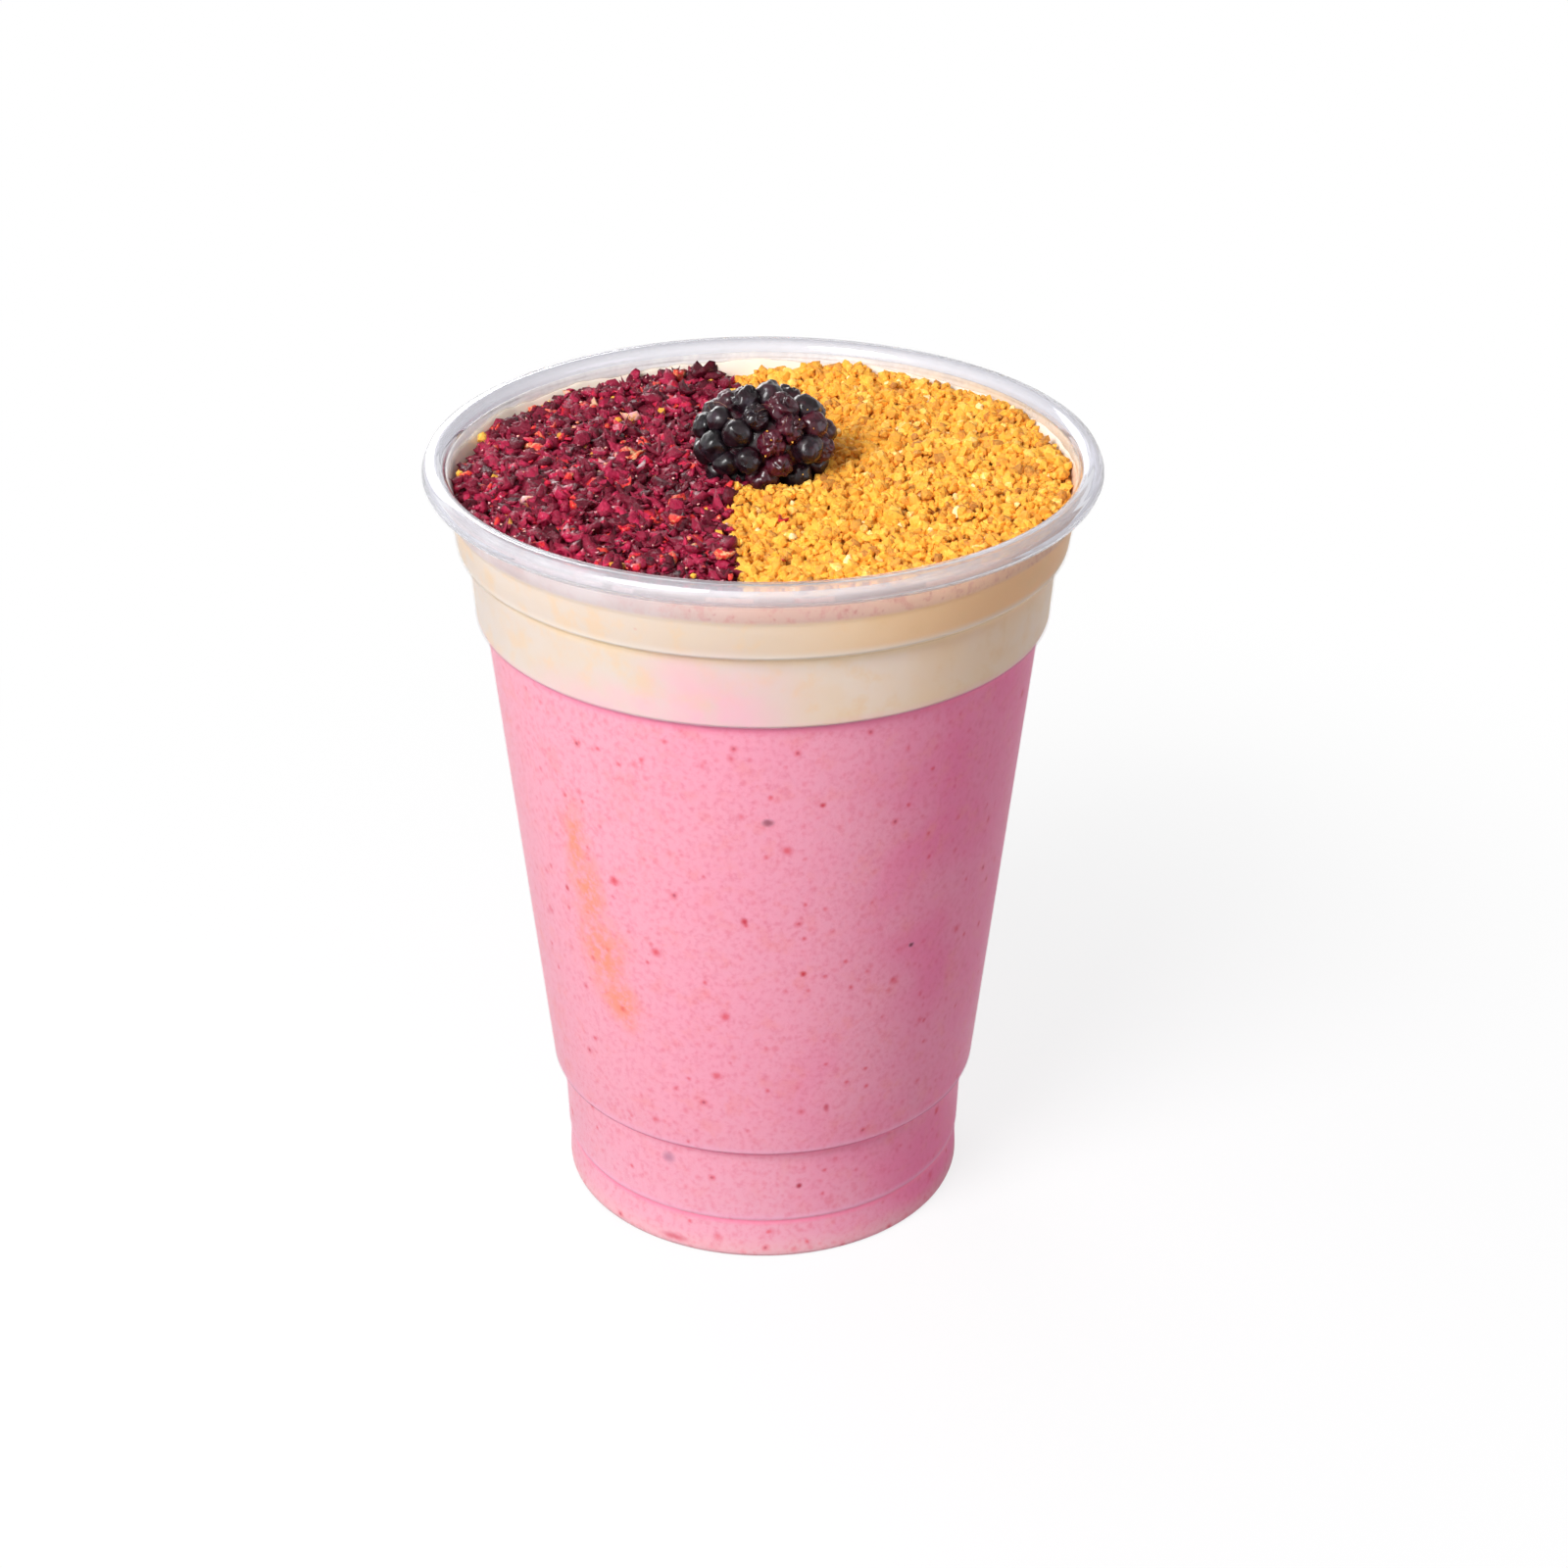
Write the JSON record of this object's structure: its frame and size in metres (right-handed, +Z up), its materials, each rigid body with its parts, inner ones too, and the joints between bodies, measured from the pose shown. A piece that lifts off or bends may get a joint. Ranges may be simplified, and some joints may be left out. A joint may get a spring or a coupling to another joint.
{
  "type": "frozen fruit drink",
  "caption": "Clear plastic tumbler of pink fruit smoothie with a cream layer, dark fruit flakes, yellow crumbs and a dark bramble berry on top.",
  "frame": {"origin": "centre of the cup's foot, on the surface it stands on", "axes": "+Z up along the cup's axis; +X from the fruit flakes towards the yellow crumbs; -Y towards the front"},
  "size_m": [0.098, 0.098, 0.1303],
  "materials": {
    "cup": "clear thin plastic, glossy",
    "smoothie": "smooth blended fruit, soft sheen through the wall",
    "cream": "smooth cream, soft sheen",
    "fruit_flakes": "dry dark fruit flakes, slightly glossy",
    "yellow_crumbs": "dry yellow crumbs",
    "bramble_berry": "dark glossy drupelets"
  },
  "bodies": {
    "root": {"cup": "cup", "smoothie": "smoothie", "cream": "cream", "fruit_flakes": "fruit_flakes", "yellow_crumbs": "yellow_crumbs", "bramble_berry": "bramble_berry"}
  },
  "joints": []
}
